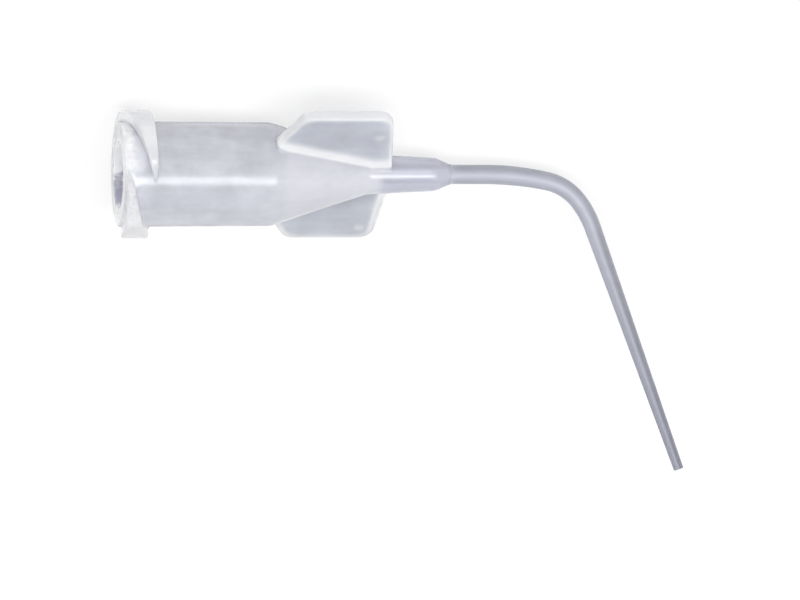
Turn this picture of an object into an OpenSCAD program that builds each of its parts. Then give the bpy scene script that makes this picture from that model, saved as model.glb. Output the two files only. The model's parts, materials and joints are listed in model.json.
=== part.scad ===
// Bent dispensing tip, moulded in one piece in natural polypropylene.
// It is drawn along +X from its mouth, with the bend towards -Y, and is then
// turned into the pose in which it lies on a bench, with +Z up and the bench at z = 0.

/* [Socket] */
// Bore at the mouth
socket_d = 4.3; // [4.2:0.01:4.4]
// Luer taper, as the fall in diameter for each unit of depth
socket_taper_ratio = 0.06; // [0.04:0.01:0.08]
// Depth of the tapered socket
socket_depth = 8.6; // [7.5:0.1:9.2]
// Width of the step where the socket meets the funnel in the cone
socket_step = 0.2; // [0.05:0.05:0.3]
// How much wider the nose's passage is than the tube's bore
passage_step = 0.14; // [0.1:0.02:0.2]

/* [Hub] */
// Barrel diameter behind the lugs
barrel_d = 6.4; // [6:0.1:7]
// Fall in diameter from the mouth to the cone, for mould draft
barrel_draft = 0.1; // [0:0.02:0.2]
// Length from the mouth to the start of the cone
barrel_len = 9.3; // [9:0.1:12]
// Radius that eases the barrel into the cone
knee_r = 1.6; // [0.5:0.1:3]
// Half angle of the cone
cone_angle = 18; // [14:1:24]
// Nose diameter where the cone ends
nose_d = 2.46; // [2.2:0.02:2.8]
// Nose diameter at its shoulder
nose_end_d = 2.02; // [1.8:0.02:2.2]
// Length of the nose up to its shoulder
nose_len = 4.2; // [3:0.1:6]
// Length of the rounded shoulder from the nose down to the tube
shoulder_len = 1.2; // [0.8:0.1:2]
// Radius at the start of the shoulder
shoulder_r = 1.1; // [0.5:0.1:1.5]
// Radius at the toe of the shoulder
toe_r = 0.5; // [0.2:0.1:0.8]
// Chamfer at the outer edge of the mouth
rim_chamfer = 0.06; // [0.04:0.01:0.15]

/* [Lugs] */
// Diameter across the lugs
lug_d = 7.8; // [7.4:0.1:8]
// Width along the hub
lug_w = 1.95; // [1.5:0.05:2.4]
// Set-back of the lugs from the rim chamfer
lug_gap = 0.06; // [0.04:0.02:0.3]
// Lead of the thread flank that faces the mouth
lug_lead = 5.8; // [5:0.1:7]
// Lead of the flank at the head of each lug
lug_head_lead = 5.8; // [5:0.1:12]
// Angle about the hub where the first lug ends, from +Z towards +Y
lug_tail_angle = -9; // [-30:1:30]
// Chamfer on the lug crest
lug_chamfer = 0.1; // [0.05:0.01:0.25]
// Slope of the front flank, as its run along the hub
lug_flank = 0.12; // [0:0.02:0.3]
// Fillet behind each lug
lug_foot = 0.22; // [0:0.02:0.3]

/* [Wings] */
// Span over the two wings
wing_span = 11.9; // [10:0.1:13]
// Thickness of each wing
wing_t = 0.85; // [0.6:0.05:1.2]
// Turn of the wings about the hub, from +Y towards +Z
wing_turn = 53; // [45:1:60]
// Distance from the mouth to the leading tip corner
wing_front = 10.8; // [10.5:0.1:12]
// Distance from the mouth to the trailing tip corner
wing_back = 16.2; // [15:0.1:17]
// Lean of the leading edge
wing_lean = 28.5; // [15:0.5:40]
// Lean of the trailing edge
wing_draft = 5; // [0:1:10]
// Radius of the leading tip corner
wing_front_r = 0.9; // [0.4:0.1:1.2]
// Radius of the trailing tip corner
wing_back_r = 1; // [0.4:0.1:1.4]
// Fillet between the wings and the hub
root_r = 0.9; // [0.4:0.1:1.2]

/* [Tube] */
// Outer diameter of the straight tube
tube_d = 1.18; // [1:0.02:1.3]
// Outer diameter at the tip
tip_d = 0.6; // [0.5:0.02:0.8]
// Bore of the straight tube
bore_d = 0.68; // [0.5:0.02:0.7]
// Bore at the tip
tip_bore_d = 0.3; // [0.2:0.02:0.34]
// Straight tube that shows before the bend
tube_lead_in = 1.85; // [1:0.1:4]
// Radius of the slow start of the bend
bend_in_r = 18.5; // [12:0.5:24]
// Angle of the slow start of the bend
bend_in_angle = 12; // [8:1:16]
// Radius of the tight part of the bend
bend_r = 3.3; // [2.8:0.1:5]
// Angle of the tight part of the bend
bend_angle = 40; // [30:1:46]
// Radius of the run-out of the bend
bend_out_r = 5.9; // [4:0.1:8]
// Angle of the run-out of the bend
bend_out_angle = 18.2; // [12:0.2:22]
// Straight leg after the bend
leg_len = 15.6; // [10:0.1:20]
// Tube behind the lead-in that keeps the full diameter
even_run = 1.6; // [0:0.1:6]
// Rounding of the cut end
tip_round = 0.05; // [0.02:0.01:0.08]

/* [Hidden] */
$fn = 64;
pass = 1;           // how far a cutter runs past the face that it opens
overlap = 0.7;      // how far one form runs into the next where they join
seat = 0.1;         // how far a fillet's strip is sunk in what it fills
meet = 0.01;        // how far one round form covers the next
toe_len = 0.25;     // length of the shoulder's toe
toe_rise = 0.03;    // height of the toe above the tube
lug_seat = 0.3;     // how deep a lug's root lies in the barrel's wall
foot_seat = 0.04;   // how deep its fillet's end lies there
crest_ratio = 1.6;  // height that a lug's crest gains with its width
crest_loss = 0.1;   // height that it lacks at its narrow ends
wing_seat = 0.6;    // distance from the hub's axis to a wing's root
throat_len = 0.3;   // passage that lies inside the cone
tube_sides = 28;    // facets round the swept tube
bend_step = 2.6;    // degrees between the rings of a bend
lug_step = 6;       // degrees between the rings of a lug

barrel_r = barrel_d / 2;
knee_rad = barrel_r - barrel_draft / 2;
cone_len = (knee_rad - nose_d / 2) / tan(cone_angle);
nose_x = barrel_len + cone_len;
shoulder_x = nose_x + nose_len;
tube_x = shoulder_x + shoulder_len;
passage_d = bore_d + passage_step;
throat_x = nose_x - throat_len;
funnel_r = socket_d / 2 - socket_taper_ratio / 2 * socket_depth;
lug_r = lug_d / 2;
lug_front = rim_chamfer + lug_gap;
wing_r = wing_span / 2;

// Turns a shape drawn round +Z into one that runs along the hub.
module along_hub() rotate([0, 90, 0]) children();

// A point at radius r round the hub, at the angle a from +Z towards +Y.
function round_hub(x, r, a) = [x, r * sin(a), r * cos(a)];

// Points of an arc that eases the corner b between the straights a-b and b-c.
function eased(a, b, c, r, steps = 8) =
    let (u = (a - b) / norm(a - b),
         v = (c - b) / norm(c - b),
         half = acos(u * v) / 2,
         mid = (u + v) / norm(u + v),
         centre = b + mid * r / sin(half),
         from = b + u * r / tan(half) - centre,
         to = b + v * r / tan(half) - centre)
    [for (i = [0 : steps])
        let (p = from * (1 - i / steps) + to * i / steps)
        centre + p * r / norm(p)];

// ---- hub -------------------------------------------------------------------

// Half section of the hub, as [radius, distance from the mouth].
function hub_section() =
    let (knee = [knee_rad, barrel_len],
         nose = [nose_d / 2, nose_x],
         shoulder = [nose_end_d / 2, shoulder_x],
         toe = [tube_d / 2 + toe_rise, tube_x - toe_len],
         end = [tube_d / 2 + meet, tube_x])
    concat(
        [[0, 0], [barrel_r - rim_chamfer, 0], [barrel_r, rim_chamfer]],
        eased([barrel_r, 0], knee, nose, knee_r),
        eased(knee, nose, shoulder, knee_r),
        eased(nose, shoulder, toe, shoulder_r),
        eased(shoulder, toe, end, toe_r),
        [end, [0, tube_x]]);

// The socket, the funnel inside the cone and the passage through the nose.
module hub_bore() {
    along_hub() {
        rotate_extrude()
            polygon([
                [0, -pass],
                [socket_d / 2 + socket_taper_ratio / 2 * pass, -pass],
                [funnel_r, socket_depth],
                [funnel_r - socket_step, socket_depth + socket_step],
                [passage_d / 2, throat_x],
                [0, throat_x]]);
        translate([0, 0, throat_x - meet])
            cylinder(d = passage_d, h = shoulder_x - throat_x);
    }
}

module hub() along_hub() rotate_extrude() polygon(hub_section());

// ---- lugs ------------------------------------------------------------------

// Angle that one lug covers: its front flank runs out at lug_w, and its head
// flank starts half a turn before the point where the other lug runs out.
lug_sweep_angle = 193;
lug_end = 0.14;     // width to which a lug narrows at both ends

// Rings of one lug: a ridge whose two flanks follow leads about the hub. Each
// ring has its root inside the barrel wall and a crest that sinks where the
// ridge is too narrow to carry it.
function lug_rings(turn) =
    let (steps = round(lug_sweep_angle / lug_step), root = barrel_r - lug_seat, full = lug_r - barrel_r)
    [for (i = [0 : steps])
        let (back = lug_sweep_angle * i / steps,
             front = max(lug_front, lug_w - lug_end - lug_lead * back / 360),
             rear = min(lug_w, lug_front + lug_end + lug_head_lead * (lug_sweep_angle - back) / 360),
             width = rear - front,
             rise = min(full, crest_ratio * width - crest_loss),
             crest = barrel_r + rise,
             chamfer = min(lug_chamfer, rise / 3, width / 4),
             flank = min(lug_flank, width / 4) * rise / full,
             foot = min(lug_foot, rise / 2),
             a = lug_tail_angle + turn + back)
        [round_hub(front, root, a),
         round_hub(front + flank, crest - chamfer, a),
         round_hub(front + flank + chamfer, crest, a),
         round_hub(rear - chamfer, crest, a),
         round_hub(rear, crest - chamfer, a),
         round_hub(rear, barrel_r + foot, a),
         round_hub(rear + foot, barrel_r - foot_seat, a),
         round_hub(rear + foot, root, a)]];

// A closed solid through rings of points, each ring with the same count.
module swept(rings) {
    n = len(rings[0]);
    last = len(rings) - 1;
    polyhedron(
        points = [for (ring = rings) each ring],
        faces = concat(
            [[for (k = [0 : n - 1]) k]],
            [for (i = [0 : last - 1], k = [0 : n - 1])
                [i * n + k, (i + 1) * n + k, (i + 1) * n + (k + 1) % n, i * n + (k + 1) % n]],
            [[for (k = [n - 1 : -1 : 0]) last * n + k]]),
        convexity = 8);
}

// ---- wings -----------------------------------------------------------------

// Outline of one wing as [distance from the mouth, distance from the hub axis].
function wing_outline() =
    let (front = [wing_front - tan(wing_lean) * (wing_r - wing_seat), wing_seat],
         front_tip = [wing_front, wing_r],
         back_tip = [wing_back, wing_r],
         back = [wing_back + tan(wing_draft) * (wing_r - wing_seat), wing_seat])
    concat(
        [front],
        eased(front, front_tip, back_tip, wing_front_r),
        eased(front_tip, back_tip, back, wing_back_r),
        [back]);

// Section of the strip that fills the corner between a wing and the hub.
module root_section() {
    difference() {
        translate([-2 * seat, -2 * seat])
            square(root_r + 2 * seat);
        translate([root_r, root_r])
            circle(root_r);
    }
}

// The strips on one side of one wing: one down the cone and one along the nose.
module root_strips() {
    lean = atan((nose_d - nose_end_d) / 2 / nose_len);
    run = cone_len / cos(cone_angle);
    for (s = [[barrel_len, knee_rad, cone_angle, run], [nose_x, nose_d / 2, lean, wing_back - nose_x]])
        translate([s[0], s[1] - seat, wing_t / 2])
            rotate([0, 0, -s[2]])
                rotate([90, 0, 90])
                    linear_extrude(s[3])
                        root_section();
}

module wing_slab(t)
    translate([0, 0, -t / 2])
        linear_extrude(t)
            polygon(wing_outline());

module wing() {
    wing_slab(wing_t);
    intersection() {
        wing_slab(wing_t + 2 * root_r);
        union() {
            root_strips();
            mirror([0, 0, 1])
                root_strips();
        }
    }
}

module wings()
    for (turn = [0, 180])
        rotate([wing_turn + turn, 0, 0])
            wing();

// ---- tube ------------------------------------------------------------------

// The tube's centre line, as stations of [x, y, heading below +X, length so far].
function bend_stations(start, r, angle) =
    let (steps = ceil(angle / bend_step), h = start[2])
    [for (i = [1 : steps])
        let (t = angle * i / steps)
        [start[0] + r * (sin(h + t) - sin(h)),
         start[1] + r * (cos(h + t) - cos(h)),
         h + t,
         start[3] + r * t * PI / 180]];

function ahead(start, length) =
    [start[0] + length * cos(start[2]), start[1] - length * sin(start[2]), start[2], start[3] + length];

function last_of(list) = list[len(list) - 1];

route_start = [tube_x - overlap, 0, 0, -overlap];
route_straight = ahead(route_start, overlap + tube_lead_in);
route_in = bend_stations(route_straight, bend_in_r, bend_in_angle);
route_bend = bend_stations(last_of(route_in), bend_r, bend_angle);
route_out = bend_stations(last_of(route_bend), bend_out_r, bend_out_angle);
route_end = ahead(last_of(route_out), leg_len);
taper_from = tube_lead_in + even_run;

// Radius at a length along the tube: even at first, then an even taper to the tip.
function tapered(length, start_d, end_d) =
    let (t = max(0, length - taper_from) / (route_end[3] - taper_from))
    (start_d + (end_d - start_d) * t) / 2;

function tube_ring(station, r) =
    [for (k = [0 : tube_sides - 1])
        let (q = 360 * k / tube_sides)
        [station[0] + r * cos(q) * sin(station[2]),
         station[1] + r * cos(q) * cos(station[2]),
         r * sin(q)]];

route = concat([route_start, route_straight], route_in, route_bend, route_out);

module tube_outside() {
    swept(concat(
        [for (s = route) tube_ring(s, tapered(s[3], tube_d, tip_d))],
        [tube_ring(ahead(route_end, -tip_round), tip_d / 2),
         tube_ring(route_end, tip_d / 2 - tip_round)]));
}

module tube_bore() {
    start = ahead(route_start, -overlap);
    swept(concat(
        [for (s = concat([start], route)) tube_ring(s, tapered(s[3], bore_d, tip_bore_d))],
        [tube_ring(ahead(route_end, pass), tip_bore_d / 2)]));
}

// ---- rest ------------------------------------------------------------------

// The tip lies on a lug, on the knee of its barrel and on a tip corner of a
// wing. Each list holds the points of one of these that can meet the bench.
lug_points = [for (ring = lug_rings(0)) each ring];
knee_points =
    [for (p = hub_section(), a = [120 : 1 : 180]) if (p[1] > barrel_len / 2 && p[1] < nose_x)
        round_hub(p[1], p[0], a)];
mouth_points = [for (a = [0 : 5 : 355]) round_hub(0, barrel_r - rim_chamfer, a)];
function wing_points(a) =
    [for (p = wing_outline(), side = [-1, 1])
        round_hub(p[0], p[1], a) + side * wing_t / 2 * [0, cos(a), -sin(a)]];
under_wing = wing_points(270 - wing_turn);
upper_wing = wing_points(90 - wing_turn);
tube_points = [for (s = concat(route, [route_end])) each tube_ring(s, tapered(s[3], tube_d, tip_d))];

// The point of a list that lies furthest along the direction n.
function furthest(list, n, i = 0, best = 0) =
    i == len(list) ? list[best] : furthest(list, n, i + 1, list[i] * n > list[best] * n ? i : best);

// The bench's direction, seen from the tip. Each pass lays the bench on the
// three points that lie furthest towards it, until they no longer change.
function bench_below(n, passes = 8) =
    passes == 0 ? n :
    let (a = furthest(lug_points, n),
         b = furthest(knee_points, n),
         c = furthest(under_wing, n),
         face = cross(b - a, c - a),
         down = face * sign(face * n) / norm(face))
    bench_below(down, passes - 1);

down = bench_below([0.1, sin(148), cos(148)]);
rest_roll = atan2(-down[1], -down[2]);
rest_pitch = atan2(down[0], norm([down[1], down[2]]));

// The rest turn of a point, and the box that holds every turned point.
function turned(p) =
    let (y = p[1] * cos(rest_roll) - p[2] * sin(rest_roll),
         z = p[1] * sin(rest_roll) + p[2] * cos(rest_roll))
    [p[0] * cos(rest_pitch) + z * sin(rest_pitch), y, z * cos(rest_pitch) - p[0] * sin(rest_pitch)];

rest_points =
    [for (p = concat(lug_points, knee_points, under_wing, upper_wing, tube_points, mouth_points))
        turned(p)];
low = [for (k = [0 : 2]) min([for (p = rest_points) p[k]])];
high = [for (k = [0 : 2]) max([for (p = rest_points) p[k]])];

// Lays its children on the bench, with the origin under the middle of the part.
module at_rest()
    translate([-(low[0] + high[0]) / 2, -(low[1] + high[1]) / 2, -low[2]])
        rotate([0, rest_pitch, 0])
            rotate([rest_roll, 0, 0])
                children();

module dispensing_tip()
    color([0.82, 0.84, 0.88])
        at_rest()
            difference() {
                union() {
                    hub();
                    swept(lug_rings(0));
                    swept(lug_rings(180));
                    wings();
                    tube_outside();
                }
                hub_bore();
                tube_bore();
            }

dispensing_tip();
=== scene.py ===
"""Bent dispensing tip in natural polypropylene, dressed for its picture.

The solid model gives the place, the pose and the box. The surfaces here are worked
out in millimetres in the hub's own frame: x runs along the hub from its mouth, and
the tube bends towards -y.
"""

import json
import math

import bpy
import numpy as np
from bpy.props import FloatProperty, FloatVectorProperty, PointerProperty
from mathutils import Matrix, Vector


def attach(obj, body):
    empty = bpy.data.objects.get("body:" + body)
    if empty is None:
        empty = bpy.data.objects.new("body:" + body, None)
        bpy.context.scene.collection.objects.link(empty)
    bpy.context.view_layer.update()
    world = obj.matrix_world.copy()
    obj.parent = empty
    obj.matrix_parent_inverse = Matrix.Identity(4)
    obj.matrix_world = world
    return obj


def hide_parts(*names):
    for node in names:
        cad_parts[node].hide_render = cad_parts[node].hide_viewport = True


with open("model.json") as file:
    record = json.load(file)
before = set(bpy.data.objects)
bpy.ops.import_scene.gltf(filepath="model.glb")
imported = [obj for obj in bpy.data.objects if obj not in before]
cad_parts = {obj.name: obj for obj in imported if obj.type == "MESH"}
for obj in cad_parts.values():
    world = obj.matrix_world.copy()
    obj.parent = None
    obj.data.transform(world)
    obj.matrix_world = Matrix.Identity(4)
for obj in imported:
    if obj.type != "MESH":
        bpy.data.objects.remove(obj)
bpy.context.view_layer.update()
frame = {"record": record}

bl_info = {
    "name": "Dispensing tip",
    "version": (1, 0, 0),
    "blender": (4, 5, 0),
    "location": "View3D > Sidebar > Tip",
    "description": "Builds a bent dispensing tip with its lugs, wings and tube",
    "category": "Add Mesh",
}

MM = 0.001

# Small sizes of the moulding in millimetres, and ratios, that no setting needs.
FACE_IN = 0.5  # from the barrel's edge to where the outside and the inside meet on the mouth
TOE_BACK = 0.25  # from the corner at the shoulder's foot to the start of the tube
SOCKET_STEP = 0.2  # chamfer round the floor of the socket
FUNNEL_BACK = 0.3  # from the end of the funnel to the nose
RING_STEP = 0.16  # longest stretch between two rings of the skin
HUB_ARC = 10  # steps in each rounded corner of the hub's outside
LUG_END = 0.14  # width to which a lug narrows at both ends
LUG_SLOPE = 1.6  # height that a lug gains for each unit of width
LUG_SEAT = 0.3  # how deep a lug starts under the barrel's surface
FOOT_SEAT = 0.04  # how deep the foot fillet ends under it
WING_ROOT = [(8.8, 2.4), (15.0, 0.85), (16.8, 0.8)]  # a wing's inner edge, as [along, out]
FILLET_X = 9.0  # where a wing's root fillet starts to grow, along the hub
FILLET_GROWTH = 0.9  # length over which it grows
FILLET_SEAT = 0.06  # how deep it ends under the cone
# Places of the ejector pins' marks, as [along, out], on a wing's face and on its back.
PIN_FACE = (15.5, 4.1)
PIN_BACK = (15.3, 4.75)
PIN_DEPTH = 0.04  # how deep the marks are


def hub_frame():
    """The hub's origin and axes in the row frame: the socket's mount faces out of the mouth,
    and the outlet's mount runs down the leg, so the two span the plane of the bend."""
    mounts = {m["name"]: m for m in frame["record"]["mounts"]}
    origin = Vector(mounts["luer_socket"]["pos_m"])
    along = -Vector(mounts["luer_socket"]["axis"]).normalized()
    leg = Vector(mounts["outlet"]["axis"])
    side = leg.cross(along).normalized()
    return origin, along, side.cross(along), side


ORIGIN, ALONG, UP, SIDE = hub_frame()
TO_ROW = np.array([ALONG, UP, SIDE])


def length(name, description, mm):
    """A size that is kept in metres and given here in millimetres."""
    return FloatProperty(name=name, description=description, default=mm * MM, min=0,
                         unit="LENGTH", precision=5)


def angle(name, description, degrees):
    """An angle that is kept in radians and given here in degrees."""
    return FloatProperty(name=name, description=description, default=math.radians(degrees),
                         unit="ROTATION", subtype="ANGLE")


def colour(name, description, value):
    """A colour in linear light."""
    return FloatVectorProperty(name=name, description=description, default=value, size=3,
                               subtype="COLOR", min=0, max=1)


def share(name, description, value, most=1.0):
    """A plain number, between 0 and the most that is allowed."""
    return FloatProperty(name=name, description=description, default=value, min=0, max=most)


class HubSizes(bpy.types.PropertyGroup):
    socket_d: length("Socket", "Bore at the mouth", 4.3)
    socket_depth: length("Socket depth", "Depth of the tapered socket", 8.6)
    socket_taper: share("Socket taper", "Fall in diameter for each unit of depth", 0.06)
    barrel_d: length("Barrel", "Diameter behind the lugs", 6.4)
    barrel_draft: length("Barrel draft", "Fall in diameter from mouth to cone", 0.1)
    barrel_len: length("Barrel length", "From the mouth to the cone", 9.3)
    knee_r: length("Knee", "Radius between barrel and cone", 1.6)
    cone_angle: angle("Cone", "Half angle of the cone", 18)
    nose_d: length("Nose", "Diameter where the cone ends", 2.46)
    nose_end_d: length("Nose end", "Diameter at the shoulder", 2.02)
    nose_len: length("Nose length", "Up to the shoulder", 4.2)
    shoulder_len: length("Shoulder", "From the nose down to the tube", 1.2)
    shoulder_r: length("Shoulder radius", "Of the start of the shoulder", 1.1)
    toe_r: length("Toe radius", "Of the end of the shoulder", 1.1)
    rim_r: length("Rim", "Rounding of the mouth's edges", 0.12)


class LugSizes(bpy.types.PropertyGroup):
    lug_d: length("Lugs", "Diameter across the lugs", 7.8)
    lug_w: length("Width", "Width along the hub", 1.95)
    lug_gap: length("Set-back", "From the mouth to the lugs", 0.12)
    lug_lead: length("Front lead", "Lead of the flank that faces the mouth", 5.8)
    lug_head_lead: length("Head lead", "Lead of the flank at the head", 5.8)
    lug_tail: angle("Tail", "Where the first lug ends", -9)
    lug_sweep: angle("Sweep", "Angle that one lug covers", 193)
    lug_edge: length("Edge", "Rounding of the crest", 0.14)
    lug_foot: length("Foot", "Fillet behind each lug", 0.22)


class WingSizes(bpy.types.PropertyGroup):
    wing_span: length("Span", "Over the two wings", 11.9)
    wing_t: length("Thickness", "Of each wing", 0.85)
    wing_turn: angle("Turn", "About the hub", 53)
    wing_front: length("Front corner", "From the mouth to the leading tip corner", 10.8)
    wing_back: length("Back corner", "From the mouth to the trailing tip corner", 16.2)
    wing_lean: angle("Lean", "Of the leading edge", 28.5)
    wing_draft: angle("Draft", "Of the trailing edge", 5)
    front_r: length("Front radius", "Of the leading tip corner", 0.9)
    back_r: length("Back radius", "Of the trailing tip corner", 1.0)
    root_r: length("Root fillet", "Between a wing and the hub", 0.9)
    edge_r: length("Edge", "Rounding of the wing's edges", 0.26)
    pin_r: length("Ejector pin", "Radius of the round mark on each wing", 0.3)


class TubeSizes(bpy.types.PropertyGroup):
    tube_d: length("Tube", "Outer diameter of the straight tube", 1.18)
    tip_d: length("Tip", "Outer diameter at the tip", 0.6)
    passage_d: length("Passage", "Bore of the nose", 0.82)
    bore_d: length("Bore", "Bore of the straight tube", 0.68)
    tip_bore_d: length("Tip bore", "Bore at the tip", 0.3)
    lead_in: length("Lead-in", "Straight tube before the bend", 1.85)
    even_len: length("Even run", "Tube that keeps its diameter", 3.45)
    in_r: length("Slow radius", "Of the slow start of the bend", 18.5)
    in_turn: angle("Slow turn", "Of the slow start of the bend", 12)
    bend_r: length("Tight radius", "Of the tight part of the bend", 3.3)
    bend_turn: angle("Tight turn", "Of the tight part of the bend", 40)
    out_r: length("Run-out radius", "Of the end of the bend", 5.9)
    out_turn: angle("Run-out turn", "Of the end of the bend", 18.2)
    leg_len: length("Leg", "Straight leg after the bend", 15.6)
    tip_round: length("Tip edge", "Rounding of the cut end", 0.05)


class FinishLook(bpy.types.PropertyGroup):
    barrel: colour("Barrel", "Milky plastic with air behind it", (0.69, 0.705, 0.745))
    solid: colour("Thick plastic", "Milky plastic that is solid", (0.80, 0.805, 0.85))
    # Painted shade: the darker tint that the wings' flat faces take inside their lighter border.
    panel: colour("Wing panel", "Flat faces of the wings", (0.58, 0.60, 0.65))
    # Painted light: a near-white tint on the wings' edges and root fillets, on the lugs, on the rim and on
    # the upper inside of the mouth.
    edge: colour("Edges", "Rounded edges, lugs and rim", (0.96, 0.965, 0.975))
    nose: colour("Nose", "Plastic round the passage", (0.53, 0.535, 0.60))
    tube: colour("Tube", "Start of the tube", (0.485, 0.495, 0.56))
    tip: colour("Tip", "End of the tube", (0.345, 0.355, 0.42))
    socket: colour("Socket", "Shaded side of the mouth", (0.44, 0.45, 0.55))
    rough: share("Roughness", "Of the moulded surface", 0.21)
    clear: share("Clearness", "Share of light that passes through", 0.45)
    # Painted light: the emission colour of a glow in the mouth and on thick edges.
    glow: colour("Glow", "Light that gathers in the mouth and in thick edges", (0.155, 0.155, 0.16))
    scatter: length("Scatter", "How far light spreads under the surface", 0.8)


class StageLook(bpy.types.PropertyGroup):
    floor: colour("Floor", "Colour of the floor", (0.90, 0.90, 0.90))
    key: share("Key lamp", "Strength of the soft lamp", 0.8, 100)
    fill: share("Fill", "Strength of the light all round", 0.74, 10)
    distance: length("Camera distance", "From the hub's axis", 1500)
    width: length("Field width", "Width of the picture at the hub's axis", 48.48)
    camera_turn: angle("Camera turn", "From square on, towards the mouth", 8.5)
    reach: length("Field centre", "Of the picture, along the hub from the mouth", 17.085)
    drop: length("Field drop", "Of the picture's centre below the hub's axis", 7.624)


class TipSettings(bpy.types.PropertyGroup):
    hub: PointerProperty(type=HubSizes)
    lugs: PointerProperty(type=LugSizes)
    wings: PointerProperty(type=WingSizes)
    tube: PointerProperty(type=TubeSizes)
    finish: PointerProperty(type=FinishLook)
    stage: PointerProperty(type=StageLook)


def mm(group):
    """A group's lengths in millimetres, and its other values as they are, by name."""
    found = {}
    for name in type(group).__annotations__:
        p = group.bl_rna.properties[name]
        value = getattr(group, name)
        found[name] = value / MM if p.type == "FLOAT" and p.unit == "LENGTH" else value
    return type("Sizes", (), found)


# ---- profiles ----------------------------------------------------------------


def rounded(corners, radii, steps=7):
    """An open line through the corners with each inner corner rounded. The arc's centre
    lies on the corner's bisector, at r over the sine of half its angle."""
    p = np.asarray(corners, float)
    line = [p[:1]]
    for i, r in enumerate(radii, 1):
        u = (p[i - 1] - p[i]) / np.linalg.norm(p[i - 1] - p[i])
        v = (p[i + 1] - p[i]) / np.linalg.norm(p[i + 1] - p[i])
        half = math.acos(float(np.clip(u @ v, -1, 1))) / 2
        if r <= 0 or half > 1.56:
            line.append(p[i:i + 1])
            continue
        centre = p[i] + (u + v) / np.linalg.norm(u + v) * r / math.sin(half)
        a, b = p[i] + u * r / math.tan(half) - centre, p[i] + v * r / math.tan(half) - centre
        t = np.linspace(0, 1, steps + 1)[:, None]
        spoke = a * (1 - t) + b * t
        line.append(centre + spoke * r / np.linalg.norm(spoke, axis=1, keepdims=True))
    line.append(p[-1:])
    return np.concatenate(line)


def divided(line, step):
    """The same line with points added so that no stretch is longer than the step."""
    gaps = np.linalg.norm(np.diff(line, axis=0), axis=1)
    counts = np.maximum(1, np.ceil(gaps / step)).astype(int)
    first = np.repeat(np.arange(len(gaps)), counts)
    t = (np.arange(counts.sum()) - np.repeat(np.cumsum(counts) - counts, counts)) / counts[first]
    return np.concatenate([line[first] + (line[first + 1] - line[first]) * t[:, None], line[-1:]])


def stations(h):
    """Where the nose, the shoulder and the tube start, along the hub from its mouth."""
    fall = (h.barrel_d - h.barrel_draft - h.nose_d) / 2
    nose_x = h.barrel_len + fall / math.tan(h.cone_angle)
    return nose_x, nose_x + h.nose_len, nose_x + h.nose_len + h.shoulder_len


def hub_outline(h, tube_r, tube_x):
    """The hub's outside from the mouth to the tube, as [distance along the hub, radius]."""
    barrel_r = h.barrel_d / 2
    knee_y = barrel_r - h.barrel_draft / 2
    nose_x = stations(h)[0]
    corners = [
        (0, barrel_r - FACE_IN), (0, barrel_r), (h.barrel_len, knee_y), (nose_x, h.nose_d / 2),
        (nose_x + h.nose_len, h.nose_end_d / 2), (tube_x - TOE_BACK, tube_r), (tube_x, tube_r),
    ]
    return rounded(corners, [h.rim_r, h.knee_r, h.knee_r, h.shoulder_r, h.toe_r], HUB_ARC)


def centre_line(s, t, tube_x):
    """Points and headings of the tube's middle at the lengths s. The curvature is even in
    each part of the bend, the heading is its running sum, and the point is the running sum
    of the heading's direction."""
    lengths = [tube_x + t.lead_in, t.in_r * t.in_turn, t.bend_r * t.bend_turn,
               t.out_r * t.out_turn, t.leg_len + 1]
    ends = np.cumsum(lengths)
    curve = np.array([0, 1 / t.in_r, 1 / t.bend_r, 1 / t.out_r, 0])
    fine = np.linspace(0, ends[-1], 20001)
    step = fine[1]
    bend = curve[np.minimum(np.searchsorted(ends, fine), 4)]
    heading = np.cumsum(bend) * step
    x = np.interp(s, fine, np.cumsum(np.cos(heading)) * step - step)
    y = np.interp(s, fine, -np.cumsum(np.sin(heading)) * step)
    return x, y, np.interp(s, fine, heading)


def body_surface(h, t, sides=96):
    """Hub and tube as one closed skin: a circle carried along the middle line, with its
    radius from the outside profile on the way out and from the bore on the way back."""
    nose_x, shoulder_x, tube_x = stations(h)
    tube_r = t.tube_d / 2
    bend = t.in_r * t.in_turn + t.bend_r * t.bend_turn + t.out_r * t.out_turn
    end = tube_x + t.lead_in + bend + t.leg_len
    taper_x = tube_x + t.even_len
    outside = np.concatenate([
        hub_outline(h, tube_r, tube_x)[1:],
        rounded([(tube_x, tube_r), (taper_x, tube_r), (end, t.tip_d / 2), (end, t.tip_bore_d / 2),
                 (taper_x, t.bore_d / 2), (shoulder_x, t.bore_d / 2)],
                [0, t.tip_round, t.tip_round, 0], 4)[1:],
    ])
    deep_r = h.socket_d / 2 - h.socket_taper / 2 * h.socket_depth
    inside = rounded([
        (shoulder_x, t.passage_d / 2), (nose_x - FUNNEL_BACK, t.passage_d / 2),
        (h.socket_depth + SOCKET_STEP, deep_r - SOCKET_STEP), (h.socket_depth, deep_r),
        (0, h.socket_d / 2), (0, h.barrel_d / 2 - FACE_IN)],
        [0.4, 0.1, 0.1, h.rim_r], 6)
    fine = divided(np.concatenate([outside, inside]), RING_STEP)
    s, r = fine[:-1, 0], fine[:-1, 1]
    x, y, heading = centre_line(s, t, tube_x)
    q = np.linspace(0, 2 * np.pi, sides, endpoint=False)
    grid = np.empty((len(s), sides, 3))
    grid[..., 0] = x[:, None] + (r * np.sin(heading))[:, None] * np.cos(q)
    grid[..., 1] = y[:, None] + (r * np.cos(heading))[:, None] * np.cos(q)
    grid[..., 2] = r[:, None] * np.sin(q)
    return grid


def hub_radius(h, x):
    """The hub's outside radius at x, behind the rim. It is asked for under the wings only,
    so a far tube stands in for the real one."""
    line = hub_outline(h, 0.6, 60.0)[HUB_ARC + 2:]
    return np.interp(x, line[:, 0], line[:, 1])


# ---- meshes ------------------------------------------------------------------


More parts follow.
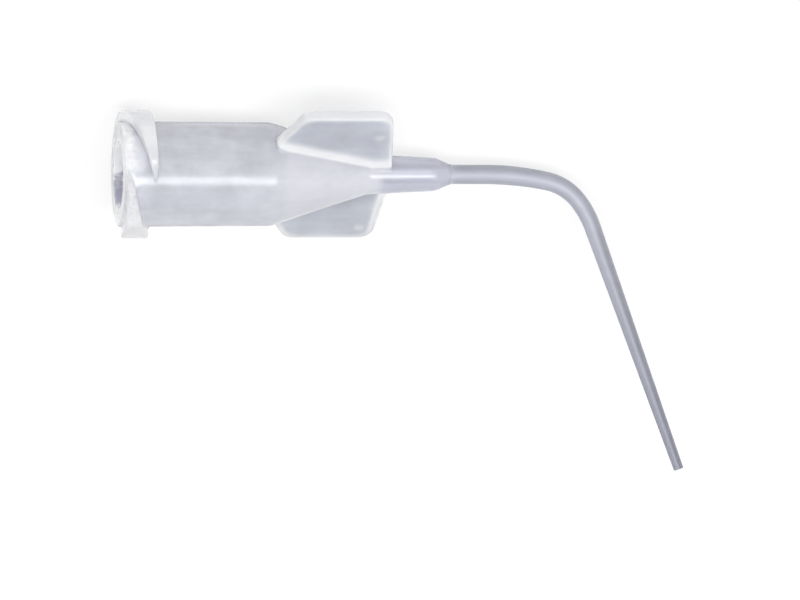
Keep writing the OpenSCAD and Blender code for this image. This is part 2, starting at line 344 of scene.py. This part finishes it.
def skin(name, grid, ends="loop"):
    """A mesh on a grid of points: each row is a closed ring, and quads join it to the next
    ring. The last ring joins the first, or the end rings close on a pole at their middle."""
    rings, n = grid.shape[:2]
    points = grid.reshape(-1, 3)
    i = np.arange(rings if ends == "loop" else rings - 1)[:, None] * n
    k = np.arange(n)[None, :]
    after = (i + n) % (rings * n)
    around = (k + 1) % n
    faces = np.stack([i + k, after + k, after + around, i + around], -1).reshape(-1, 4).tolist()
    if ends == "poles":
        total = rings * n
        points = np.concatenate([points, grid[0].mean(0)[None], grid[-1].mean(0)[None]])
        first, last = k[0], (rings - 1) * n + k[0]
        faces += np.stack([np.full(n, total), first, np.roll(first, -1)], -1).tolist()
        faces += np.stack([np.full(n, total + 1), np.roll(last, -1), last], -1).tolist()
    row = points @ TO_ROW * MM + np.array(ORIGIN)
    mesh = bpy.data.meshes.new(name)
    mesh.from_pydata(row.tolist(), [], faces)
    if signed_volume(mesh) < 0:
        mesh.flip_normals()
    mesh.validate()
    made = bpy.data.objects.new(name, mesh)
    bpy.context.scene.collection.objects.link(made)
    return made


def signed_volume(mesh):
    """The volume that a mesh encloses, below zero where its faces look inwards."""
    mesh.calc_loop_triangles()
    corners = np.empty(len(mesh.loop_triangles) * 3, np.int32)
    mesh.loop_triangles.foreach_get("vertices", corners)
    co = np.empty(len(mesh.vertices) * 3, np.float32)
    mesh.vertices.foreach_get("co", co)
    a, b, c = co.reshape(-1, 3).astype(float)[corners.reshape(-1, 3)].transpose(1, 0, 2)
    return float(np.einsum("ij,ij->i", a, np.cross(b, c)).sum() / 6)


def lug_surface(h, g, turn):
    """One lug: a ridge about the hub whose front flank and head flank follow leads, with a
    flat rear. Its crest sinks where the ridge is narrow, and its edges are quarter circles."""
    back = np.linspace(0, g.lug_sweep, 110)
    share_back = back / (2 * np.pi)
    share_left = (g.lug_sweep - back) / (2 * np.pi)
    barrel_r = h.barrel_d / 2
    full = g.lug_d / 2 - barrel_r
    front = np.maximum(g.lug_gap, g.lug_w - LUG_END - g.lug_lead * share_back)
    rear = np.minimum(g.lug_w, g.lug_gap + LUG_END + g.lug_head_lead * share_left)
    width = rear - front
    rise = np.clip(LUG_SLOPE * width - 0.1, 0.02, full)
    edge = np.minimum(g.lug_edge, np.minimum(rise / 3, width / 4))
    foot = np.minimum(g.lug_foot, rise / 2)
    crest = barrel_r + rise
    root = np.full_like(crest, barrel_r - LUG_SEAT)
    q = np.linspace(0, np.pi / 2, 5)
    x = [front, front]
    r = [root, crest - edge]
    for v in q[1:]:
        x.append(front + edge * (1 - np.cos(v)))
        r.append(crest - edge + edge * np.sin(v))
    for v in q:
        x.append(rear - edge + edge * np.sin(v))
        r.append(crest - edge + edge * np.cos(v))
    for v in q:
        x.append(rear + foot * (1 - np.cos(v)))
        r.append(barrel_r + foot * (1 - np.sin(v)) - FOOT_SEAT * v / q[-1])
    x.append(rear + foot)
    r.append(root)
    x, r = np.stack(x, 1), np.stack(r, 1)
    a = (g.lug_tail + turn + back)[:, None]
    return np.stack([x, r * np.sin(a), r * np.cos(a)], -1)


def wing_outline(w):
    """Outline of one wing as [distance along the hub, distance from its axis], with its
    inner edge inside the hub's wall."""
    tip = w.wing_span / 2
    front_y, back_y = WING_ROOT[0][1], WING_ROOT[-1][1]
    front = (w.wing_front - math.tan(w.wing_lean) * (tip - front_y), front_y)
    back = (w.wing_back + math.tan(w.wing_draft) * (tip - back_y), back_y)
    corners = [front, (w.wing_front, tip), (w.wing_back, tip), back]
    line = rounded(corners, [w.front_r, w.back_r], 12)
    return divided(np.concatenate([line, [WING_ROOT[1], front]]), 0.25)[:-1]


def wing_surface(h, w, turn):
    """One wing: its outline drawn inwards along its normals while the height climbs round a
    quarter circle, over a flat face that closes on a pole, and the same on the other side."""
    line = wing_outline(w)
    ahead = np.roll(line, -1, 0) - line
    ahead /= np.linalg.norm(ahead, axis=1, keepdims=True)
    mean = ahead + np.roll(ahead, 1, 0)
    mean /= np.linalg.norm(mean, axis=1, keepdims=True)
    inward = np.stack([mean[:, 1], -mean[:, 0]], 1)
    middle = line.mean(0)
    if ((middle - line) * inward).sum() < 0:
        inward = -inward
    root = np.interp(line[:, 0], *zip(*WING_ROOT))
    half = w.wing_t / 2
    r = (w.edge_r * np.clip((line[:, 1] - root) / 0.8, 0.04, 1))[:, None]
    upper = [np.hstack([line + inward * r * (1 - math.cos(v)), half - r + r * math.sin(v)])
             for v in np.linspace(0, np.pi / 2, 6)]
    flat, centre = upper[-1], np.append(middle, half)
    upper = np.stack(upper + [centre + (flat - centre) * f for f in np.linspace(1, 0, 28)[1:-1]])
    upper[..., 2] *= root_height(h, w, upper[..., 0], upper[..., 1]) / half
    grid = np.concatenate([upper[::-1] * (1, 1, -1), upper])
    return turned(grid, w.wing_turn + turn)


def turned(grid, a):
    """The points [along, out, across] turned about the hub by the angle a."""
    x, out, across = grid[..., 0], grid[..., 1], grid[..., 2]
    y = out * math.cos(a) - across * math.sin(a)
    z = out * math.sin(a) + across * math.cos(a)
    return np.stack([x, y, z], -1)


def root_height(h, w, x, out):
    """Half the wing's thickness with its root fillet: in each section a circle touches the
    wing's face and the hub's circle, so its centre is at one radius from both."""
    sunk = hub_radius(h, x) - FILLET_SEAT
    r = w.root_r * np.clip((x - FILLET_X) / FILLET_GROWTH, 0.02, 1)
    high = w.wing_t / 2 + r
    wide = np.sqrt(np.maximum((sunk + r) ** 2 - high ** 2, 0.01))
    inwards = np.clip(wide - out, 0, r * wide / (sunk + r))
    return high - np.sqrt(r ** 2 - inwards ** 2)


def pin_surface(w, along, out, side, turn):
    """A shallow round cutter for an ejector pin's mark: a short cylinder across the wing."""
    q = np.linspace(0, 2 * np.pi, 32, endpoint=False)
    high = w.wing_t / 2 + np.array([-PIN_DEPTH, -PIN_DEPTH / 2, 0.3])
    radius = w.pin_r + np.array([-0.03, 0, 0.02])
    grid = np.empty((3, 32, 3))
    grid[..., 0] = along + radius[:, None] * np.cos(q)
    grid[..., 1] = out + radius[:, None] * np.sin(q)
    grid[..., 2] = side * high[:, None]
    return turned(grid if side > 0 else grid[::-1], w.wing_turn + turn)


# ---- finish ------------------------------------------------------------------


class Value:
    """One output of a node. Arithmetic on it adds Math nodes."""

    def __init__(self, finish, socket):
        self.finish, self.socket = finish, socket

    def math(self, operation, *others):
        return self.finish.add("ShaderNodeMath", {"operation": operation},
                               dict(enumerate([self, *others])))

    def __add__(self, other):
        return self.math("ADD", other)

    def __mul__(self, other):
        return self.math("MULTIPLY", other)

    def __sub__(self, other):
        return self.math("SUBTRACT", other)

    def __rsub__(self, other):
        return self.finish.add("ShaderNodeMath", {"operation": "SUBTRACT"}, {0: other, 1: self})

    def __truediv__(self, other):
        return self.math("DIVIDE", other)

    def __pow__(self, other):
        return self.math("POWER", other)

    __radd__, __rmul__ = __add__, __mul__

    def abs(self):
        return self.math("ABSOLUTE")

    def most(self, other):
        return self.math("MAXIMUM", other)

    def climb(self, low, high):
        """A smooth step from 0 at low to 1 at high, or down where high is the lower one."""
        settings = {"interpolation_type": "SMOOTHSTEP"}
        if low < high:
            return self.finish.add("ShaderNodeMapRange", settings, {"Value": self, 1: low, 2: high})
        return 1 - self.finish.add("ShaderNodeMapRange", settings, {"Value": self, 1: high, 2: low})


class Finish:
    """Builds the nodes of a material or a world."""

    def __init__(self, owner):
        owner.use_nodes = True
        self.tree = owner.node_tree
        self.tree.nodes.clear()

    def add(self, kind, settings=None, inputs=None, output=0):
        """Adds a node, sets its settings, then its sockets, and returns one output."""
        node = self.tree.nodes.new(kind)
        for name, value in (settings or {}).items():
            setattr(node, name, value)
        for key, value in (inputs or {}).items():
            if isinstance(value, Value):
                self.tree.links.new(value.socket, node.inputs[key])
            else:
                node.inputs[key].default_value = value
        return Value(self, node.outputs[output]) if node.outputs else None

    def mix(self, a, b, factor):
        """Colour a turned into colour b by the factor."""
        def full(c):
            return c if isinstance(c, Value) else (*c, 1)
        return self.add("ShaderNodeMix", {"data_type": "RGBA"}, {0: factor, 6: full(a), 7: full(b)}, output=2)

    def noise(self, at, scale, detail=2.0, rough=0.5):
        return self.add("ShaderNodeTexNoise", {}, {"Vector": at, "Scale": scale, "Detail": detail,
                                                   "Roughness": rough})


class Place:
    """Where a point of the surface lies in the hub's frame, in millimetres: x, y and z, its
    distance from the axis, and how far it stands proud of the barrel and the cone."""

    def __init__(self, finish, h):
        self.finish = finish
        self.point = finish.add("ShaderNodeTexCoord", output="Object")
        self.x, self.y, self.z = self.along(ALONG), self.along(UP), self.along(SIDE)
        self.radius = (self.y * self.y + self.z * self.z) ** 0.5
        cone_r = h.barrel_d / 2 - (self.x - h.barrel_len).most(0) * math.tan(h.cone_angle)
        self.proud = self.radius - cone_r.most(h.nose_d / 2)

    def along(self, axis):
        """Distance from the hub's origin along an axis."""
        dot = self.finish.add("ShaderNodeVectorMath", {"operation": "DOT_PRODUCT"},
                              {0: self.point, 1: tuple(axis)}, output="Value")
        return (dot - axis.dot(ORIGIN)) * (1 / MM)


def across_tube(x, y, t, tube_x):
    """Signed distance from the tube's middle line in the plane of the bend, above zero on
    the outer side. Each part of the bend gives it from its own circle and the leg from its
    own line, past its own start."""
    start_x, start_y, heading = tube_x + t.lead_in, 0.0, 0.0
    found = y
    for turn, r in ((t.in_turn, t.in_r), (t.bend_turn, t.bend_r), (t.out_turn, t.out_r)):
        ahead = (x - start_x) * math.cos(heading) - (y - start_y) * math.sin(heading)
        mid_x, mid_y = start_x - r * math.sin(heading), start_y - r * math.cos(heading)
        to_x, to_y = x - mid_x, y - mid_y
        part = (to_x * to_x + to_y * to_y) ** 0.5 - r
        found = found + ahead.climb(-0.05, 0.05) * (part - found)
        heading += turn
        start_x, start_y = mid_x + r * math.sin(heading), mid_y + r * math.cos(heading)
    ahead = (x - start_x) * math.cos(heading) - (y - start_y) * math.sin(heading)
    leg = (x - start_x) * math.sin(heading) + (y - start_y) * math.cos(heading)
    return found + ahead.climb(-0.05, 0.05) * (leg - found)


def wing_zones(p, w):
    """The wings' zones, each from 0 to 1. Face is the side that a turn about the hub from
    +y meets first. The shaded panel is the flat part inside the border of painted light, and it
    takes painted shade. Dimmer is how much darker it is painted: on the back darker near the cone
    and lighter away from it, on the face lighter near the root. Root is where the fillet has
    ended, and mark is the ejector pin's place."""
    across = p.z * math.cos(w.wing_turn) - p.y * math.sin(w.wing_turn)
    outwards = p.y * math.cos(w.wing_turn) + p.z * math.sin(w.wing_turn)
    out = outwards.abs()
    face = (across * outwards.math("SIGN")).climb(-0.05, 0.05)
    wing = p.proud.climb(0.04, 0.2) * p.x.climb(8.6, 9.2) * p.x.climb(17.0, 16.9)
    from_tip = w.wing_span / 2 - out
    from_front = p.x - w.wing_front + from_tip * math.tan(w.wing_lean)
    from_back = w.wing_back - p.x + from_tip * math.tan(w.wing_draft)
    inner = from_tip.math("SMOOTH_MIN", from_front * math.cos(w.wing_lean), 0.9)
    inner = inner.math("SMOOTH_MIN", from_back - 0.12, 0.9)
    flat = across.abs().climb(w.wing_t / 2 - 0.10, w.wing_t / 2 - 0.01)
    root = p.proud.climb(0.35, 1.25)
    # Painted shade on the flat panels. The border round them and the root fillet keep the tint of painted
    # light.
    lit_panel = inner.climb(-0.12, 0.3) * root * face
    dim_panel = inner.climb(0.2, 0.6) * (1 - face)
    panel = wing * flat * (lit_panel + dim_panel)
    # Painted shade and light: the back panel is darker near the cone and lighter away from it, and the face
    # panel is lighter near its root.
    dimmer = (1 - face) * (0.12 - p.proud.climb(0.2, 1.7) * 0.22)
    dimmer = dimmer - face * p.proud.climb(2.6, 0.6) * 0.10
    mark_x = p.x - PIN_BACK[0] - face * (PIN_FACE[0] - PIN_BACK[0])
    mark_out = out - PIN_BACK[1] + face * (PIN_BACK[1] - PIN_FACE[1])
    mark = ((mark_x * mark_x + mark_out * mark_out) ** 0.5).climb(0.5, 0.15) * panel
    return wing, face, panel, dimmer, root, mark


def painted_tube_shading(p, t, tube_x):
    """Painted highlight and shade on the tube: how much lighter than its tint it is painted,
    lightest along its middle and near the hub, and darker towards its outer and its inner side."""
    slimmed = p.y.climb(2.0, -20.0)
    tube_r = t.tube_d / 2 - slimmed * (t.tube_d - t.tip_d) / 2 * 1.1
    off_middle = across_tube(p.x, p.y, t, tube_x) / tube_r + p.y.climb(-1.2, -4.5) * 0.3
    outer_side = off_middle.climb(0.0, 0.65)
    inner_side = off_middle.climb(-0.4, -0.8)
    return p.y.climb(-4.5, -0.5) * 0.08 + 0.16 - outer_side * 0.34 - inner_side * 0.24


def nose_zones(p, nose_x):
    """The nose's zones: the nose from its soft start under the wings, a painted highlight along
    it, and painted shade that leaves its lower half lighter than its upper half, with a dark line painted in
    it."""
    start = nose_x + 0.75 + p.y.climb(-0.1, 0.3) * 0.45
    nose = (p.x - start).climb(-0.35, 0.35)
    # Painted highlight: a pale stripe along the nose.
    painted_highlight = (p.y - 0.02).abs().climb(0.30, 0.12) * p.x.climb(14.2, 15.2) * p.x.climb(19.6, 18.8)
    # Painted shade: the upper half darker than the lower, and a dark line below the highlight.
    upper = p.y.climb(0.2, 0.5)
    line = (p.y + 0.46).abs().climb(0.16, 0.04)
    return nose, painted_highlight, (1 - upper) * 0.22 - line * 0.12


def moulded_plastic(settings):
    """Natural polypropylene: milky and half clear. Its colour follows how much plastic lies
    behind the surface, so it is told by the distance along the hub and from its axis. The colour
    also carries painted light and shade: shaded wing panels with lit edges, lit lugs and rim, a
    painted highlight on the nose, painted shading across the nose and the tube, a barrel darker on
    top and at its edges, and a painted glow. The thin tube scatters no light under its surface."""
    look, h, w, t = settings.finish, mm(settings.hub), mm(settings.wings), mm(settings.tube)
    tints = {name: tuple(getattr(look, name)) for name in (
        "barrel", "solid", "panel", "edge", "nose", "tube", "tip", "socket", "glow")}
    material = bpy.data.materials.new("natural_polypropylene")
    f = Finish(material)
    p = Place(f, h)
    x, y = p.x, p.y
    nose_x, _, tube_x = stations(h)

    # Zones, each from 0 to 1.
    wing, face, panel, dimmer, root, mark = wing_zones(p, w)
    nose, painted_highlight, nose_painted_shade = nose_zones(p, nose_x)
    lug = p.proud.climb(0.04, 0.2) * x.climb(3.0, 2.8)
    front = x.climb(2.2, 1.2)
    rim = x.climb(0.9, 0.3)
    cone = x.climb(h.barrel_len - 0.3, h.barrel_len + 1.0)
    # Painted shade: a dark line along the barrel's top and bottom edges.
    barrel_edge_shade = y.abs().climb(h.barrel_d / 2 - 0.26, h.barrel_d / 2 - 0.02) * (1 - lug) * x.climb(9.8, 9.2)
    # Painted light on the lugs, stronger towards their top and bottom.
    crest = lug * (y.abs().climb(0.8, 2.6) * 0.5 + 0.4)
    on_tube = x.climb(20.0, 20.9).most(y.climb(-6.2, -6.6))
    to_tip = y.climb(-1.0, -17.0)
    socket = (p.radius - h.socket_d / 2).climb(0.08, 0.0)
    socket = socket * x.climb(h.socket_depth + 0.4, h.socket_depth)

    # Patterns in the plastic.
    crinkle = f.noise(p.point, 2600.0, 3.0, 0.6)
    cloud = f.noise(p.point, 560.0, 4.0, 0.6)
    stretched = f.add("ShaderNodeMapping", {}, {"Vector": p.point, "Scale": (1, 5, 5)})
    streak = f.noise(stretched, 420.0, 2.0)
    grain = f.noise(p.point, 9000.0, 2.0, 0.6)
    # Painted shade: the lower inside of the mouth, with a crinkled edge.
    shaded = (y + (crinkle - 0.5) * 3.0).climb(0.5, -0.9) * y.climb(-2.3, -1.6)

    tint = f.mix(tints["barrel"], tints["solid"], cone.most(front * 0.75))
    tint = f.mix(tint, tints["nose"], nose)
    # Painted highlight along the nose, in the solid tint.
    tint = f.mix(tint, tints["solid"], painted_highlight * 0.35)
    # Painted light: the near-white edge tint on the wings' edges and root fillets, on the lug crests and on
    # the rim.
    tint = f.mix(tint, tints["edge"], wing.most(crest).most(rim * 0.9) * (1 - panel))
    # Painted shade: the darker tint on the wings' flat panels.
    tint = f.mix(tint, tints["panel"], panel)
    tint = f.mix(tint, tints["edge"], mark * 0.35)
    tint = f.mix(tint, f.mix(tints["tube"], tints["tip"], to_tip), on_tube)
    # Painted light and shade in the mouth: the upper inside takes the light edge tint, and the lower inside
    # takes the shaded socket tint.
    tint = f.mix(tint, f.mix(tints["edge"], tints["socket"], shaded), socket)

    mottle = (cloud - 0.5) * (0.5 - cone * 0.3 + panel * 0.15) + (streak - 0.5) * 0.14
    mottle = mottle + (crinkle - 0.5) * 0.6 * x.climb(1.6, 0.3)
    # Painted shade: the barrel darker towards its top and along its top and bottom edges. The tone below also
    # adds the painted shade and light of the wing panels, the nose and the tube.
    body = (y.climb(-0.6, 1.4) * 0.07 - 0.04) * (1 - cone) * (1 - front) + barrel_edge_shade * 0.16
    tone = 1 + mottle - body - panel * dimmer + nose * (1 - on_tube) * nose_painted_shade
    tone = tone + on_tube * painted_tube_shading(p, t, tube_x)
    # Painted light: a glow on the wings' root fillets, on the upper lugs and in the upper inside of the
    # mouth.
    lit_edge = (wing * (1 - root) * (1 - panel) * (face * 0.6 + 0.4)).most(
        crest * y.climb(1.0, 2.6) * 0.4)
    lit_mouth = socket * (1 - shaded) * x.climb(1.8, 0.3)
    plastic = {
        "Base Color": f.add("ShaderNodeHueSaturation", {}, {"Color": tint, "Value": tone}),
        "Roughness": look.rough + (cloud - 0.5) * 0.10 + socket * 0.1 + on_tube * 0.2,
        "IOR": 1.49,
        "Transmission Weight": look.clear,
        "Emission Color": f.mix((0, 0, 0), tints["glow"], lit_edge.most(lit_mouth)),
        "Emission Strength": 1.0,
        "Normal": f.add("ShaderNodeBump", {}, {
            "Strength": 0.12, "Distance": 0.00004,
            "Height": grain * 0.5 + cloud * 0.8 + crinkle * rim * 4.0}),
    }
    thick = f.add("ShaderNodeBsdfPrincipled", {}, plastic | {
        "Subsurface Weight": 1.0, "Subsurface Radius": (1.0, 1.0, 1.0),
        "Subsurface Scale": look.scatter})
    thin = f.add("ShaderNodeBsdfPrincipled", {}, plastic)
    shader = f.add("ShaderNodeMixShader", {}, {0: on_tube, 1: thick, 2: thin})
    f.add("ShaderNodeOutputMaterial", {}, {"Surface": shader})
    return material


# ---- operators ---------------------------------------------------------------


class TIP_OT_body(bpy.types.Operator):
    """Adds the hub and its bent tube as one skin"""

    bl_idname = "tip.body"
    bl_label = "Hub and tube"

    def execute(self, context):
        s = context.scene.dispensing_tip
        skin("moulding", body_surface(mm(s.hub), mm(s.tube)))
        return {"FINISHED"}


class TIP_OT_lugs(bpy.types.Operator):
    """Joins the two locking lugs to the hub"""

    bl_idname = "tip.lugs"
    bl_label = "Locking lugs"

    def execute(self, context):
        s = context.scene.dispensing_tip
        for turn in (0, math.pi):
            merge(skin("lug", lug_surface(mm(s.hub), mm(s.lugs), turn), "poles"))
        return {"FINISHED"}


class TIP_OT_wings(bpy.types.Operator):
    """Joins the two wings, their root fillets and the ejector pins' marks"""

    bl_idname = "tip.wings"
    bl_label = "Wings"

    def execute(self, context):
        s = context.scene.dispensing_tip
        h, w = mm(s.hub), mm(s.wings)
        for turn in (0, math.pi):
            merge(skin("wing", wing_surface(h, w, turn), "poles"))
            for (along, out), side in ((PIN_FACE, 1), (PIN_BACK, -1)):
                merge(skin("pin", pin_surface(w, along, out, side, turn), "poles"), "DIFFERENCE")
        return {"FINISHED"}


def merge(piece, operation="UNION"):
    """Joins a piece to the moulding, or cuts it out, and then deletes it."""
    body = bpy.data.objects["moulding"]
    change = body.modifiers.new("join", "BOOLEAN")
    change.operation, change.solver, change.object = operation, "EXACT", piece
    context = bpy.context
    context.view_layer.update()
    before = len(body.data.polygons)
    found = bpy.data.meshes.new_from_object(body.evaluated_get(context.evaluated_depsgraph_get()))
    body.modifiers.remove(change)
    if len(found.polygons) < before / 2:
        raise RuntimeError(f"{piece.name} could not be joined")
    old, body.data = body.data, found
    bpy.data.meshes.remove(old)
    bpy.data.objects.remove(piece)


class TIP_OT_finish(bpy.types.Operator):
    """Smooths the moulding, gives it its plastic and puts it on the frame"""

    bl_idname = "tip.finish"
    bl_label = "Plastic"

    def execute(self, context):
        body = bpy.data.objects["moulding"]
        body.data.polygons.foreach_set("use_smooth", np.ones(len(body.data.polygons), bool))
        body.data.set_sharp_from_angle(angle=math.radians(38))
        body.data.materials.clear()
        body.data.materials.append(moulded_plastic(context.scene.dispensing_tip))
        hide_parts("dispensing_tip")
        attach(body, "root")
        return {"FINISHED"}


class TIP_OT_stage(bpy.types.Operator):
    """Adds the floor, the lamps, the world and the camera"""

    bl_idname = "tip.stage"
    bl_label = "Stage"

    def execute(self, context):
        scene, look = context.scene, context.scene.dispensing_tip.stage
        add_floor(scene, look)
        turn = look.camera_turn
        right = ALONG * math.cos(turn) + SIDE * math.sin(turn)
        back = SIDE * math.cos(turn) - ALONG * math.sin(turn)
        middle = ORIGIN + right * look.reach - UP * look.drop
        add_camera(scene, look, right, back, middle)
        add_lamp(scene, look, middle)
        add_world(scene, look)
        scene.view_settings.view_transform = "Standard"
        return {"FINISHED"}


def add_floor(scene, look):
    """A pale floor, which the camera sees as almost white."""
    sides, radius = 64, 2.0
    q = np.linspace(0, 2 * np.pi, sides, endpoint=False)
    rim = np.column_stack([np.cos(q), np.sin(q), np.zeros(sides)]) * radius
    mesh = bpy.data.meshes.new("floor")
    mesh.from_pydata(rim.tolist(), [], [list(range(sides))])
    floor = bpy.data.objects.new("floor", mesh)
    scene.collection.objects.link(floor)
    material = bpy.data.materials.new("pale_floor")
    f = Finish(material)
    rays = f.add("ShaderNodeLightPath", output="Is Camera Ray")
    shade = f.add("ShaderNodeBsdfDiffuse", {}, {"Color": (*look.floor, 1)})
    white = f.add("ShaderNodeEmission", {}, {"Color": (1, 1, 1, 1), "Strength": 1.0})
    shader = f.add("ShaderNodeMixShader", {}, {0: rays * 0.7, 1: shade, 2: white})
    f.add("ShaderNodeOutputMaterial", {}, {"Surface": shader})
    mesh.materials.append(material)


def placed(at, right, up, back):
    """The matrix of a thing at a place that looks against its back."""
    return Matrix.Translation(at) @ Matrix((right, up, back)).transposed().to_4x4()


def add_camera(scene, look, right, back, middle):
    """A camera so far away that its picture is nearly parallel."""
    film = 36.0
    camera = bpy.data.cameras.new("camera")
    camera.sensor_width = film
    camera.lens = film * look.distance / look.width
    camera.clip_start, camera.clip_end = 0.01, 20.0
    viewer = bpy.data.objects.new("camera", camera)
    viewer.matrix_world = placed(middle + back * look.distance, right, UP, back)
    scene.collection.objects.link(viewer)
    scene.camera = viewer


def add_lamp(scene, look, middle):
    """One wide soft lamp over the hub, turned along it."""
    distance, wide, high, watts = 1.0, 0.9, 0.30, 9.0
    towards = (SIDE - UP * 0.26).normalized()
    across = (ALONG - towards * ALONG.dot(towards)).normalized()
    data = bpy.data.lights.new("key", "AREA")
    data.shape, data.size, data.size_y, data.energy = "RECTANGLE", wide, high, watts * look.key
    lamp = bpy.data.objects.new("key", data)
    lamp.matrix_world = placed(middle + towards * distance, across, towards.cross(across), towards)
    lamp.visible_camera = False
    scene.collection.objects.link(lamp)


def add_world(scene, look):
    """Light all round: white where it is seen, mirrored or seen through the plastic, and
    dimmer where it lights."""
    world = bpy.data.worlds.new("world")
    scene.world = world
    f = Finish(world)
    seen = f.add("ShaderNodeLightPath", output="Is Camera Ray")
    gloss = f.add("ShaderNodeLightPath", output="Is Glossy Ray")
    glass = f.add("ShaderNodeLightPath", output="Is Transmission Ray")
    white = seen.most(gloss).most(glass)
    light = f.add("ShaderNodeBackground", {}, {
        "Color": (0.98, 0.98, 1.0, 1), "Strength": look.fill + white * (1 - look.fill)})
    f.add("ShaderNodeOutputWorld", {}, {"Surface": light})


class TIP_PT_panel(bpy.types.Panel):
    """Lists the settings and the steps"""

    bl_idname = "TIP_PT_panel"
    bl_label = "Dispensing tip"
    bl_space_type = "VIEW_3D"
    bl_region_type = "UI"
    bl_category = "Tip"

    def draw(self, context):
        settings = context.scene.dispensing_tip
        for operator, group in (("tip.body", "hub"), ("tip.lugs", "lugs"), ("tip.wings", "wings"),
                                ("tip.body", "tube"), ("tip.finish", "finish"), ("tip.stage", "stage")):
            box = self.layout.box()
            box.operator(operator)
            values = getattr(settings, group)
            for name in type(values).__annotations__:
                box.prop(values, name)


CLASSES = (
    HubSizes, LugSizes, WingSizes, TubeSizes, FinishLook, StageLook, TipSettings,
    TIP_OT_body, TIP_OT_lugs, TIP_OT_wings, TIP_OT_finish, TIP_OT_stage, TIP_PT_panel,
)


def register():
    """Registers the classes and hangs the settings on the scene."""
    for c in CLASSES:
        bpy.utils.register_class(c)
    bpy.types.Scene.dispensing_tip = PointerProperty(type=TipSettings)


def unregister():
    """Takes the settings and the classes away again."""
    del bpy.types.Scene.dispensing_tip
    for c in reversed(CLASSES):
        bpy.utils.unregister_class(c)


def main():
    register()
    tip = bpy.ops.tip
    for step in (tip.body, tip.lugs, tip.wings, tip.finish, tip.stage):
        if step() != {"FINISHED"}:
            raise RuntimeError("a step did not finish")


if __name__ == "__main__":
    main()
